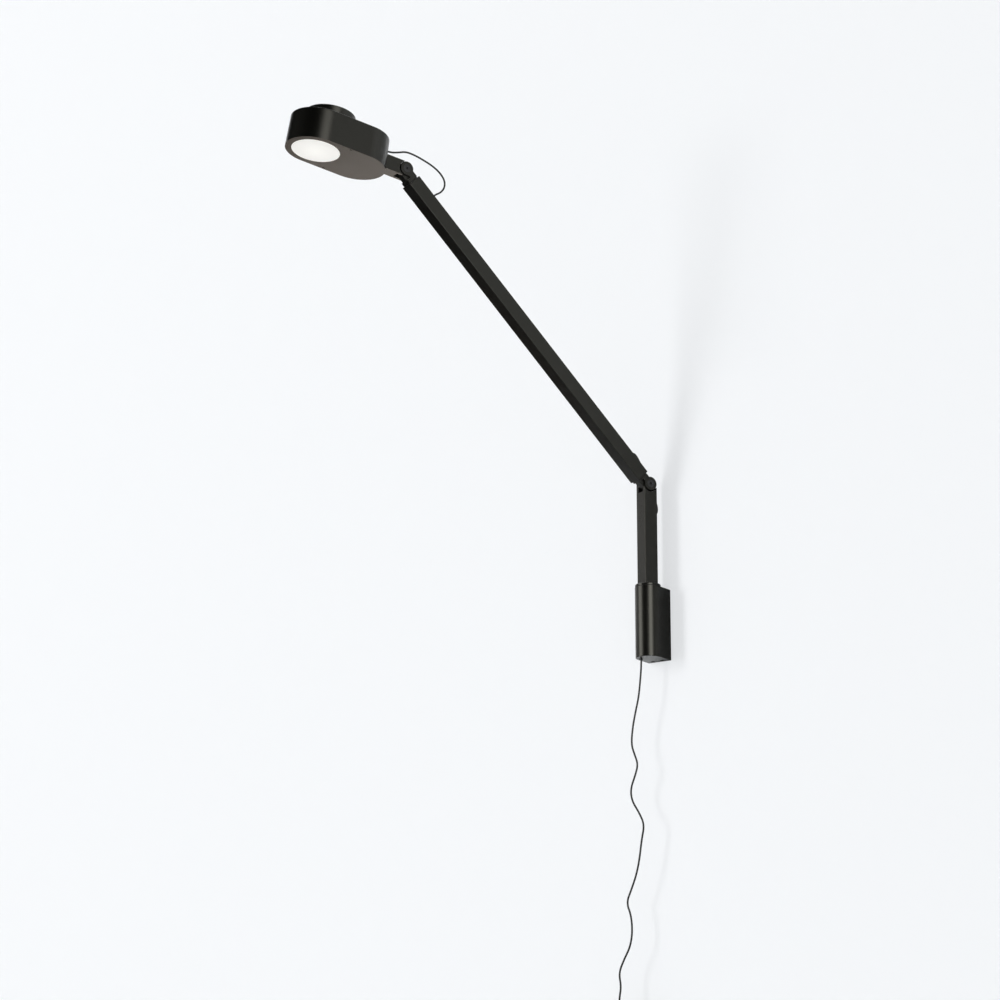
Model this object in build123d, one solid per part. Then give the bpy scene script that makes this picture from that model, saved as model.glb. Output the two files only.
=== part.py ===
from build123d import *
import math
import os

# A wall lamp: wall bracket, swivelling lower arm, long upper arm and a pill-shaped lamp head.
# The wall is the plane y = 0 and the room lies towards -Y. +Z is up, and the origin is the
# middle of the two wall screw holes. Sizes are in millimetres, angles in degrees.

# Pose in which the lamp is modelled
swivel_angle = -23.6
arm_angle = 44.6
head_tilt = 9.2

# Fits between pieces
press_gap = 0.02
running_gap = 0.05
slip_gap = 0.1
clear_gap = 0.3

# Wall bracket
bracket_width = 35.0
bracket_depth = 46.0
bracket_height = 97.0
bracket_wall = 2.5
bracket_top_wall = 5.0
bracket_edge = 0.4
cover_thickness = 4.5
wall_plate_thickness = 3.0
wall_hole_diameter = 4.5
wall_hole_spacing = 50.0
shelf_thickness = 4.0
shelf_margin = 4.5
cover_screw_spacing = 14.5
cover_screw_from_wall = 6.6
cover_screw_diameter = 3.0
cover_screw_head_diameter = 5.6
cover_screw_head_height = 1.6
cover_screw_recess = 1.5
cover_screw_socket = 2.0
terminal_width = 20.0
terminal_depth = 10.0
terminal_height = 18.0
terminal_screw_diameter = 4.0
terminal_screw_height = 1.2

# Swivel
spindle_diameter = 14.0
spindle_wall = 2.5
spindle_below_bush = 12.0
bush_wall = 2.0
bush_flange = 3.0
bush_flange_thickness = 1.5
swivel_washer_thickness = 0.5
collar_thickness = 3.0
collar_edge = 0.8
collar_inset = 0.3
collar_boss_height = 12.0
spindle_seat = 8.0
wave_washer_thickness = 1.5
spindle_nut_across_flats = 20.0
spindle_nut_height = 6.0

# Square arms
arm_side = 20.0
arm_wall = 2.0
arm_corner = 0.7
elbow_rise = 143.0
arm_pitch = 537.0

# Hinges, the same at the elbow and at the head
hinge_radius = 9.5
disc_thickness = 4.2
hub_groove = 1.8
groove_radius = 7.0
knuckle_width = 16.0
elbow_knuckle_reach = 15.5
head_knuckle_reach = 18.0
knuckle_pivot_rise = 3.4
knuckle_edge = 0.4
neck_relief = 5.0
neck_clearance = 0.5
seam_width = 1.6
seam_depth = 1.5
plug_length = 12.0
friction_washer_thickness = 0.7
friction_washer_diameter = 15.0
block_reach = 24.0
block_pivot_set = 1.7
shoulder_radius = 10.9
shoulder_forward = 1.8
shoulder_drop = 1.2
shoulder_horn = 4.4
cheek_thickness = 4.7
bolt_diameter = 6.0
bolt_head_diameter = 11.0
bolt_head_height = 2.5
bolt_socket = 3.0
bolt_socket_depth = 1.8
bolt_recess = 0.15
bolt_washer_thickness = 0.7
nut_slot_width = 1.6
nut_slot_depth = 0.9

# Lamp head
head_length = 140.0
head_width = 81.0
head_height = 44.0
head_draft = 1.25
head_edge = 1.5
head_gap = 31.5
head_pivot_height = 21.0
head_wall = 3.0
head_top_wall = 3.0
head_rim = 1.8
plate_thickness = 2.2
plate_gap = 0.15
notch_radius = 2.2
notch_from_pivot = 99.0
diffuser_margin = 8.5
diffuser_flange = 3.0
diffuser_flange_thickness = 1.4
reflector_height = 11.0
reflector_wall = 1.2
reflector_taper = 4.0
led_board_thickness = 1.6
led_chip_side = 3.0
led_chip_height = 0.8
led_ring_counts = (6, 12)
led_ring_radii = (8.0, 16.0)
spreader_thickness = 5.5
post_diameter = 7.0
post_inset = 7.0
post_angles = (-90.0, 20.0, 160.0)
post_screw_diameter = 2.5
post_screw_head_diameter = 4.4
post_screw_head_height = 1.6
post_screw_length = 14.0
driver_width = 54.0
driver_screw_gap = 10.0
driver_spreader_gap = 7.0
driver_height = 20.0
driver_board_thickness = 1.6
driver_post_spacing = 42.0
coil_can_radius = 7.0
coil_can_height = 9.0
capacitor_radius = 4.0
capacitor_height = 10.0
chip_box_side = 9.0
chip_box_height = 3.0
block_screw_diameter = 5.0
block_screw_head_diameter = 8.5
block_screw_head_height = 4.0
block_screw_length = 14.0
socket_end_wall = 3.0
socket_wall = 2.0

# Dimmer
knob_diameter = 67.0
knob_height = 12.0
knob_lift = 0.5
knob_set_back = 12.5
knob_wall = 3.0
knob_edge = 0.8
knob_hub_diameter = 14.0
module_side = 20.0
module_height = 9.0
module_bush_diameter = 9.0
module_bush_above = 3.6
module_nut_across_flats = 13.0
module_nut_height = 2.4
shaft_diameter = 6.0
shaft_flat = 1.2
shaft_into_module = 6.0
shaft_into_knob = 5.0

# Cords
cord_diameter = 2.5
grommet_wall = 1.2
grommet_flange = 1.0
grommet_flange_height = 0.6
grommet_seat = 0.3
elbow_hole_upper = 46.5
elbow_hole_lower = 39.5
head_hole_arm = 51.5
head_hole_rise = 16.4
wiring_bend = 6.8
wiring_waves = 9
wiring_sway = 2.0
gland_flange = 1.0
gland_flange_height = 2.0
gland_nose = 0.8
gland_wall = 1.3
cord_exit_x = -10.5
cord_exit_y = -30.5

# Put-away coil, its tie and the plug-in driver
coil_outer_radius = 21.0
coil_turns_per_layer = 4
coil_layers = 4
coil_pitch = 3.0
coil_exit = 8.0
tie_width = 6.0
tie_thickness = 0.8
tie_gap = 0.7
boot_length = 24.0
boot_diameter = 7.0
boot_tip_diameter = 3.4
plug_case_width = 34.0
plug_case_depth = 28.0
plug_case_height = 58.0
plug_case_corner = 4.0
plug_case_edge = 2.0
pin_diameter = 4.0
pin_length = 19.0
pin_spacing = 19.0
pin_drop = 40.0

# Values worked out from the sizes above
swivel_y = -(bracket_depth - bracket_width / 2)
bracket_top = bracket_height / 2
bracket_bottom = -bracket_height / 2
cavity_bottom = bracket_bottom + cover_thickness
cavity_top = bracket_top - bracket_top_wall
spindle_radius = spindle_diameter / 2
spindle_bore_radius = spindle_radius - spindle_wall
bush_radius = spindle_radius + running_gap + bush_wall
bush_flange_bottom = cavity_top - bush_flange_thickness
spindle_bottom = bush_flange_bottom - spindle_below_bush
collar_bottom = bracket_top + swivel_washer_thickness + running_gap
collar_top = collar_bottom + collar_thickness
elbow_z = bracket_top + elbow_rise
arm_bore = arm_side - 2 * arm_wall
plug_side = arm_bore - 2 * slip_gap
block_front = arm_side / 2 + block_pivot_set
cheek_face = cheek_thickness - arm_side / 2
hub_end = cheek_face + friction_washer_thickness + 2 * running_gap
bolt_seat = knuckle_width / 2 - bolt_recess - bolt_head_height
nut_seat = bolt_recess + bolt_head_height - arm_side / 2
horn_face = arm_side / 2 - shoulder_horn
opening_depth = shoulder_drop + shoulder_radius
bolt_radius = bolt_diameter / 2
head_bottom = -head_pivot_height
head_top = head_bottom + head_height
head_ceiling = head_top - head_top_wall
head_middle_y = -(head_gap + head_length / 2)
led_y = -(head_gap + head_length - head_width / 2)
knob_y = led_y + knob_set_back
diffuser_diameter = head_width - 2 * diffuser_margin
diffuser_flange_radius = diffuser_diameter / 2 + diffuser_flange
led_board_radius = diffuser_flange_radius - reflector_taper
post_circle_radius = led_board_radius - post_inset
socket_end = block_reach + plug_length + socket_end_wall
driver_from_pivot = socket_end + block_screw_head_height + driver_screw_gap
driver_length = -led_y - led_board_radius - driver_spreader_gap - driver_from_pivot
cord_radius = cord_diameter / 2
grommet_radius = cord_radius + running_gap + grommet_wall
terminal_front = -(wall_plate_thickness + terminal_depth)

# Frames of the moving bodies. In each, X runs across the hinges.
swivel_frame = Pos(0, swivel_y, 0) * Rot(0, 0, swivel_angle)
elbow_frame = swivel_frame * Pos(0, block_pivot_set, elbow_z)
arm_frame = elbow_frame * Rot(90 - arm_angle, 0, 0)
head_hinge_frame = arm_frame * Pos(0, 0, arm_pitch)
head_frame = head_hinge_frame * Rot(arm_angle - 90 - head_tilt, 0, 0)
head_block_frame = head_frame * Rot(-90, 0, 0) * Rot(0, 0, 180)

nodes = {}


def add(name, solids, frame=None):
    """Keep a piece, or a group of like pieces, under its node's name."""
    group = solids if isinstance(solids, list) else [solids]
    placed = [solid if frame is None else frame * solid for solid in group]
    nodes[name] = placed[0] if len(placed) == 1 else Compound(children=placed)


def rod(radius, bottom, top):
    """An upright round bar."""
    return Pos(0, 0, (bottom + top) / 2) * Cylinder(radius, top - bottom)


def ring(outer, inner, bottom, top):
    """An upright round tube or washer."""
    return rod(outer, bottom, top) - rod(inner, bottom - 1, top + 1)


def cross_rod(radius, left, right):
    """A round bar along X."""
    return Rot(0, 90, 0) * rod(radius, left, right)


def block(x_low, x_high, y_low, y_high, z_low, z_high):
    """A box between two corners."""
    middle = ((x_low + x_high) / 2, (y_low + y_high) / 2, (z_low + z_high) / 2)
    return Pos(*middle) * Box(x_high - x_low, y_high - y_low, z_high - z_low)


def square_bar(side, y_middle, bottom, top):
    """An upright square bar."""
    half = side / 2
    return block(-half, half, y_middle - half, y_middle + half, bottom, top)


def hexagon(across_flats, bottom, top):
    """An upright hexagonal bar."""
    corner_radius = across_flats / math.sqrt(3)
    return Pos(0, 0, bottom) * extrude(RegularPolygon(corner_radius, 6), top - bottom)


def square_tube(y_middle, bottom, top):
    """A square arm tube with softened corners."""
    outer = RectangleRounded(arm_side, arm_side, arm_corner)
    section = outer - Rectangle(arm_bore, arm_bore)
    return Pos(0, y_middle, bottom) * extrude(section, top - bottom)


def socket_screw(shank_radius, head_radius, head_height, socket, length):
    """A screw whose head stands on z = 0 and whose shank points up."""
    body = rod(head_radius, -head_height, 0) + rod(shank_radius, 0, length)
    return body - hexagon(socket, -head_height - 1, -head_height * 0.35)


def grommet(wall):
    """A rubber grommet along Z: its flange lies on z = 0, its neck goes down through the wall."""
    neck = ring(grommet_radius, cord_radius + running_gap, -wall, 0)
    flange = ring(grommet_radius + grommet_flange, cord_radius + running_gap, 0, grommet_flange_height)
    return neck + flange


def world_points(frame, points):
    """Points of a route, moved from a body's frame."""
    return [(frame * Pos(*point)).position for point in points]


def route_radii(points):
    """The largest bend radius that the two runs beside each corner allow."""
    radii = []
    for before, corner, after in zip(points, points[1:], points[2:]):
        run_in = corner - before
        run_out = after - corner
        half_turn = math.radians(run_in.get_angle(run_out)) / 2
        radii.append(0.45 * min(run_in.length, run_out.length) / math.tan(half_turn))
    return radii


def tube_along(name, path):
    """A cord's tube along a path, with its volume set against section times length."""
    section = Plane(origin=path @ 0, z_dir=path % 0) * Circle(cord_radius)
    tube = sweep(section, path=path)
    share = tube.volume / (math.pi * cord_radius**2 * path.length)
    print(f"{name}: length {path.length:.1f} mm, volume share {share:.4f}")
    return tube


def cord(name, points):
    """A cord's stretch: straight runs joined by tangent arcs."""
    points = [Vector(*point) for point in points]
    radii = route_radii(points)
    print(f"{name}: radii {[round(radius, 1) for radius in radii]}")
    return tube_along(name, FilletPolyline(*points, radius=radii))


# Wall bracket

def bracket_outline(inset):
    """The bracket's plan: flat back and sides, round front."""
    half = bracket_width / 2 - inset
    sides = Pos(0, swivel_y / 2) * Rectangle(2 * half, -swivel_y)
    return sides + Pos(0, swivel_y) * Circle(half)


def at_cover_screws(piece):
    """Two copies of a piece, at the two screws under the bracket."""
    half = cover_screw_spacing / 2
    return [Pos(x, -cover_screw_from_wall, 0) * piece for x in (-half, half)]


def make_bracket():
    housing = Pos(0, 0, cavity_bottom) * extrude(bracket_outline(0), bracket_top - cavity_bottom)
    housing = chamfer(housing.faces().sort_by(Axis.Z)[-1].edges(), bracket_edge)
    cavity = Pos(0, 0, cavity_bottom) * extrude(bracket_outline(bracket_wall), cavity_top - cavity_bottom)
    spindle_way = Pos(0, swivel_y, 0) * rod(bush_radius + press_gap, cavity_top - 1, bracket_top + 1)
    add("bracket_housing", housing - cavity - spindle_way)

    plate_half = bracket_width / 2 - bracket_wall - slip_gap
    plate = block(-plate_half, plate_half, -wall_plate_thickness, 0, cavity_bottom, cavity_top - slip_gap)
    shelf_front = -(cover_screw_from_wall + shelf_margin)
    shelf_top = cavity_bottom + shelf_thickness
    plate += block(-plate_half, plate_half, shelf_front, 0, cavity_bottom, shelf_top)
    for z in (-wall_hole_spacing / 2, wall_hole_spacing / 2):
        hole = rod(wall_hole_diameter / 2, -wall_plate_thickness - 1, wall_plate_thickness + 1)
        plate -= Pos(0, 0, z) * Rot(90, 0, 0) * hole
    thread = rod(cover_screw_diameter / 2 + press_gap, cavity_bottom - 1, shelf_top + 1)
    add("wall_plate", plate - at_cover_screws(thread))

    cover = Pos(0, 0, bracket_bottom) * extrude(bracket_outline(0), cover_thickness)
    cover = chamfer(cover.faces().sort_by(Axis.Z)[0].edges(), bracket_edge)
    seat = bracket_bottom + cover_screw_recess + cover_screw_head_height
    shank_way = rod(cover_screw_diameter / 2 + slip_gap, bracket_bottom - 1, cavity_bottom + 1)
    head_way = rod(cover_screw_head_diameter / 2 + slip_gap, bracket_bottom - 1, seat)
    cover -= at_cover_screws(shank_way + head_way)
    gland_way = rod(cord_radius + running_gap + gland_wall + press_gap, bracket_bottom - 1, cavity_bottom + 1)
    add("bottom_cover", cover - Pos(cord_exit_x, cord_exit_y, 0) * gland_way)

    screw_length = cover_thickness - cover_screw_recess - cover_screw_head_height + shelf_thickness
    screw = socket_screw(
        cover_screw_diameter / 2,
        cover_screw_head_diameter / 2,
        cover_screw_head_height,
        cover_screw_socket,
        screw_length,
    )
    add("cover_screws", at_cover_screws(Pos(0, 0, seat) * screw))

    half = terminal_width / 2
    terminal = block(
        -half, half, terminal_front, -wall_plate_thickness, -terminal_height / 2, terminal_height / 2
    )
    screw_pocket = Rot(90, 0, 0) * rod(
        terminal_screw_diameter / 2 + press_gap, -terminal_front - terminal_screw_height, -terminal_front + 1
    )
    screw_spots = [Pos(x, 0, -terminal_height / 4) for x in (-half / 2, half / 2)]
    add("terminal_block", terminal - [spot * screw_pocket for spot in screw_spots])
    terminal_screw = rod(terminal_screw_diameter / 2, -terminal_front - terminal_screw_height, -terminal_front)
    slot = block(-half, half, -0.4, 0.4, -terminal_front - terminal_screw_height / 2, -terminal_front + 1)
    terminal_screw = Rot(90, 0, 0) * (terminal_screw - slot)
    add("terminal_screws", [spot * terminal_screw for spot in screw_spots])

    bush = ring(bush_radius, spindle_radius + running_gap, bush_flange_bottom, bracket_top)
    bush_edge = bush_radius + bush_flange
    bush += ring(bush_edge, spindle_radius + running_gap, bush_flange_bottom, cavity_top)
    add("swivel_bush", bush, Pos(0, swivel_y, 0))
    washer_top = bracket_top + swivel_washer_thickness
    washer_radius = bracket_width / 2 - 2 * bracket_edge - collar_inset
    washer = ring(washer_radius, spindle_radius + clear_gap, bracket_top, washer_top)
    add("swivel_washer", washer, Pos(0, swivel_y, 0))

    gland_bore = cord_radius + running_gap
    gland_outer = gland_bore + gland_wall
    gland_top = cavity_bottom + gland_flange_height
    gland = ring(gland_outer, gland_bore, bracket_bottom - gland_nose, gland_top)
    gland += ring(gland_outer + gland_flange, gland_bore, cavity_bottom, gland_top)
    add("cord_gland", gland, Pos(cord_exit_x, cord_exit_y, 0))

    lead_z = terminal_height / 4
    lead = [
        (0, swivel_y, spindle_bottom - running_gap),
        (0, swivel_y, spindle_bottom - 12),
        (0, swivel_y + 4, lead_z + 5),
        (0, terminal_front - 6, lead_z),
        (0, terminal_front, lead_z),
    ]
    add("bracket_lead", cord("bracket_lead", lead))


# Swivel and lower arm

def make_lower_arm():
    boss_top = collar_top + collar_boss_height
    collar = rod(bracket_width / 2 - collar_inset, collar_bottom, collar_top)
    collar = chamfer(collar.faces().sort_by(Axis.Z)[-1].edges(), collar_edge)
    collar += square_bar(plug_side, 0, collar_top, boss_top)
    collar -= rod(spindle_radius + press_gap, collar_bottom - 1, collar_top + spindle_seat)
    collar -= rod(spindle_bore_radius, collar_bottom, boss_top + 1)
    add("turret_collar", collar, swivel_frame)

    spindle = ring(spindle_radius, spindle_bore_radius, spindle_bottom, collar_top + spindle_seat)
    add("swivel_spindle", spindle, swivel_frame)
    washer_top = bush_flange_bottom - running_gap
    washer_bottom = washer_top - wave_washer_thickness
    washer_radius = bush_radius + bush_flange
    wave = ring(washer_radius, spindle_radius + running_gap, washer_bottom, washer_top)
    add("wave_washer", wave, swivel_frame)
    nut = hexagon(spindle_nut_across_flats, washer_bottom - spindle_nut_height, washer_bottom)
    nut -= rod(spindle_radius + press_gap, spindle_bottom - 1, washer_top)
    add("spindle_nut", nut, swivel_frame)

    tube = square_tube(0, collar_top, elbow_z - block_reach)
    hole_z = elbow_z - elbow_hole_lower
    hole = Pos(0, 0, hole_z) * Rot(-90, 0, 0) * rod(grommet_radius + press_gap, 0, arm_side)
    add("lower_arm_tube", tube - hole, swivel_frame)
    seat = swivel_frame * Pos(0, arm_side / 2, hole_z) * Rot(-90, 0, 0)
    add("lower_grommet", grommet(arm_wall), seat)
    add("elbow_block", hinge_block(), elbow_frame)

    wall_inside = arm_bore / 2
    wiring = [
        (0, wall_inside, hole_z),
        (0, wall_inside - wiring_bend, hole_z),
        (0, wall_inside - 2 * wiring_bend, hole_z - wiring_bend),
    ]
    drop = (hole_z - wiring_bend - spindle_bottom) / 4
    sway = spindle_bore_radius - cord_radius - clear_gap
    wiring += [
        (0, wall_inside - 2 * wiring_bend, hole_z - wiring_bend - drop),
        (-sway, 0, spindle_bottom + 2 * drop),
        (sway / 2, 0, spindle_bottom + drop),
        (0, 0, spindle_bottom),
    ]
    add("lower_wiring", cord("lower_wiring", world_points(swivel_frame, wiring)))


# Hinge pieces, each in a frame with the pivot at the origin and X along the hinge bolt

def hinge_block():
    """Square block with a round far cheek and a hollowed near shoulder. +Z points from the block to the pivot."""
    body = Pos(0, -block_pivot_set, -block_reach) * extrude(
        RectangleRounded(arm_side, arm_side, arm_corner), block_reach + block_front
    )
    above = block(-arm_side, arm_side, -arm_side, arm_side, 0, arm_side)
    body -= above - cross_rod(block_front, -arm_side, cheek_face)
    body -= block(cheek_face, arm_side, -arm_side, arm_side, -shoulder_drop, arm_side)
    body -= Pos(0, -shoulder_forward, -shoulder_drop) * cross_rod(shoulder_radius, cheek_face, arm_side)
    body -= block(cheek_face, horn_face, -arm_side, 0, -opening_depth, 0)
    plug_end = -(block_reach + plug_length)
    body += square_bar(plug_side, -block_pivot_set, plug_end, -block_reach)
    body -= cross_rod(bolt_radius + running_gap, -arm_side, arm_side)
    body -= cross_rod(bolt_head_diameter / 2 + running_gap, -arm_side, nut_seat)
    screw_top = plug_end + block_screw_length - socket_end_wall
    thread = rod(block_screw_diameter / 2 + press_gap, plug_end - 1, screw_top)
    return body - Pos(0, -block_pivot_set, 0) * thread


def hinge_knuckle(reach):
    """Near disc and hub on a neck that plugs into an arm tube. +Z points into the tube.

    The neck is cut back to clear the block's shoulder and far cheek when the hinge is folded square, and its
    rib then lies in the block's opening. A seam crosses the neck's near side at the tube's end.
    """
    half = knuckle_width / 2
    neck_top = arm_bore / 2 - knuckle_pivot_rise
    neck_bottom = -arm_bore / 2 - knuckle_pivot_rise
    disc_face = half - disc_thickness
    disc = cross_rod(hinge_radius, disc_face, half)
    knuckle = chamfer(disc.edges().filter_by(GeomType.CIRCLE), knuckle_edge)
    knuckle += cross_rod(hinge_radius, hub_end, disc_face - hub_groove)
    knuckle += cross_rod(groove_radius, hub_end, half - disc_thickness / 2)
    foot_start = block_front + neck_clearance
    seam_start = reach - seam_width
    knuckle += block(hub_end, half, -neck_relief, neck_top, 0, seam_start)
    knuckle += block(hub_end, horn_face - neck_clearance, neck_clearance - opening_depth, 0, 0, seam_start)
    knuckle += block(-half, half, neck_bottom, neck_top, foot_start, seam_start)
    knuckle += block(-half, half - seam_depth, neck_bottom, neck_top, foot_start, reach)
    knuckle += square_bar(plug_side, -knuckle_pivot_rise, reach, reach + plug_length)
    knuckle -= cross_rod(bolt_radius + press_gap, -arm_side, arm_side)
    recess_radius = bolt_head_diameter / 2 + press_gap
    return knuckle - cross_rod(recess_radius, bolt_seat - bolt_washer_thickness, arm_side)


def hinge_bolt():
    """Round-headed bolt with a hex socket, its head in the near disc."""
    head_end = bolt_seat + bolt_head_height
    bolt = cross_rod(bolt_head_diameter / 2, bolt_seat, head_end)
    bolt += cross_rod(bolt_radius, nut_seat - bolt_head_height, bolt_seat)
    socket = hexagon(bolt_socket, head_end - bolt_socket_depth, head_end + 1)
    return bolt - Rot(0, 90, 0) * socket


def hinge_nut():
    """Slotted round nut in the far cheek."""
    outer = nut_seat - bolt_head_height
    nut = cross_rod(bolt_head_diameter / 2, outer, nut_seat)
    nut -= cross_rod(bolt_radius + press_gap, outer - 1, 0)
    slot_half = nut_slot_width / 2
    return nut - block(outer - 1, outer + nut_slot_depth, -arm_side, arm_side, -slot_half, slot_half)


def hinge_washers():
    """Friction washer between the far cheek and the hub, and a washer under the bolt's head."""
    friction = cross_rod(friction_washer_diameter / 2, cheek_face + running_gap, hub_end - running_gap)
    under_head = cross_rod(bolt_head_diameter / 2 - slip_gap, bolt_seat - bolt_washer_thickness, bolt_seat)
    bore = cross_rod(bolt_radius + slip_gap, -arm_side, arm_side)
    return [friction - bore, under_head - bore]


# Upper arm with a knuckle at each end

def make_upper_arm():
    tube = square_tube(-knuckle_pivot_rise, elbow_knuckle_reach, arm_pitch - head_knuckle_reach)
    top_face = arm_side / 2 - knuckle_pivot_rise
    hole_spots = [Pos(0, top_face, z) * Rot(-90, 0, 0) for z in (elbow_hole_upper, arm_pitch - head_hole_arm)]
    hole = rod(grommet_radius + press_gap, -arm_side / 2, 1)
    add("upper_arm_tube", tube - [spot * hole for spot in hole_spots], arm_frame)
    add("upper_grommets", [spot * grommet(arm_wall) for spot in hole_spots], arm_frame)

    add("elbow_knuckle", hinge_knuckle(elbow_knuckle_reach), arm_frame)
    head_knuckle = mirror(hinge_knuckle(head_knuckle_reach), about=Plane.YZ)
    add("head_knuckle", head_knuckle, head_hinge_frame * Rot(0, 180, 0))
    for hinge, frame in (("elbow", arm_frame), ("head", head_hinge_frame)):
        add(f"{hinge}_bolt", hinge_bolt(), frame)
        add(f"{hinge}_nut", hinge_nut(), frame)
        add(f"{hinge}_washers", hinge_washers(), frame)

    inside = top_face - arm_wall
    low_z = elbow_hole_upper
    high_z = arm_pitch - head_hole_arm
    rest = inside - 2 * wiring_bend
    wiring = [
        (0, inside, low_z),
        (0, inside - wiring_bend, low_z),
        (0, rest, low_z + wiring_bend),
    ]
    span = (high_z - low_z - 2 * wiring_bend) / wiring_waves
    for k in range(1, wiring_waves):
        wiring.append((wiring_sway * (-1) ** k, rest, low_z + wiring_bend + k * span))
    wiring += [
        (0, rest, high_z - wiring_bend),
        (0, inside - wiring_bend, high_z),
        (0, inside, high_z),
    ]
    add("upper_wiring", cord("upper_wiring", world_points(arm_frame, wiring)))


def make_joint_cords():
    """Cord loops that cross the elbow, on the far side of its cheeks, and the head hinge."""
    top_face = arm_side / 2 - knuckle_pivot_rise
    upper_part = [
        (0, top_face - arm_wall, elbow_hole_upper),
        (0, 11.0, elbow_hole_upper),
        (0, 14.4, 42.5),
        (-1.0, 14.2, 34.0),
        (-4.5, 13.2, 20.0),
        (-7.5, 13.0, 7.0),
    ]
    back_face = arm_side / 2 - block_pivot_set
    lower_part = [
        (-8.0, 12.9, 6.5),
        (-7.5, 13.2, -5.0),
        (-5.0, 14.2, -16.0),
        (-1.5, 15.6, -26.5),
        (0, 15.5, -35.3),
        (0, 12.7, -elbow_hole_lower),
        (0, back_face - arm_wall, -elbow_hole_lower),
    ]
    elbow_points = world_points(arm_frame, upper_part) + world_points(elbow_frame, lower_part)
    add("elbow_cord", cord("elbow_cord", elbow_points))

    head_part = [
        (0, -(head_gap + head_wall), head_hole_rise),
        (0, -24.5, head_hole_rise),
        (0, -12.5, 21.1),
        (0, -1.5, 26.3),
        (0, 12.0, 26.2),
        (0, 26.5, 24.0),
        (0, 41.0, 20.8),
        (0, 53.5, 15.2),
        (0, 62.0, 6.8),
        (0, 63.2, -3.0),
        (0, 58.5, -12.0),
    ]
    arm_part = [
        (0, 14.5, -head_hole_arm),
        (0, top_face - arm_wall, -head_hole_arm),
    ]
    loop_points = world_points(head_frame, head_part) + world_points(head_hinge_frame, arm_part)
    add("head_cord", cord("head_cord", loop_points))


# Lamp head

def head_outline(inset):
    """The head's plan: two half circles joined by straight sides."""
    return Pos(0, head_middle_y) * Rot(0, 0, 90) * SlotOverall(head_length - 2 * inset, head_width - 2 * inset)


def at_posts(piece):
    """Three copies of a piece, at the posts over the LED board."""
    return [
        Pos(0, led_y, 0) * Rot(0, 0, angle) * Pos(post_circle_radius, 0, 0) * piece for angle in post_angles
    ]


def at_driver_posts(piece):
    """Two copies of a piece, at the posts over the driver board."""
    y = -(driver_from_pivot + driver_length / 2)
    return [Pos(x, y, 0) * piece for x in (-driver_post_spacing / 2, driver_post_spacing / 2)]


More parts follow.
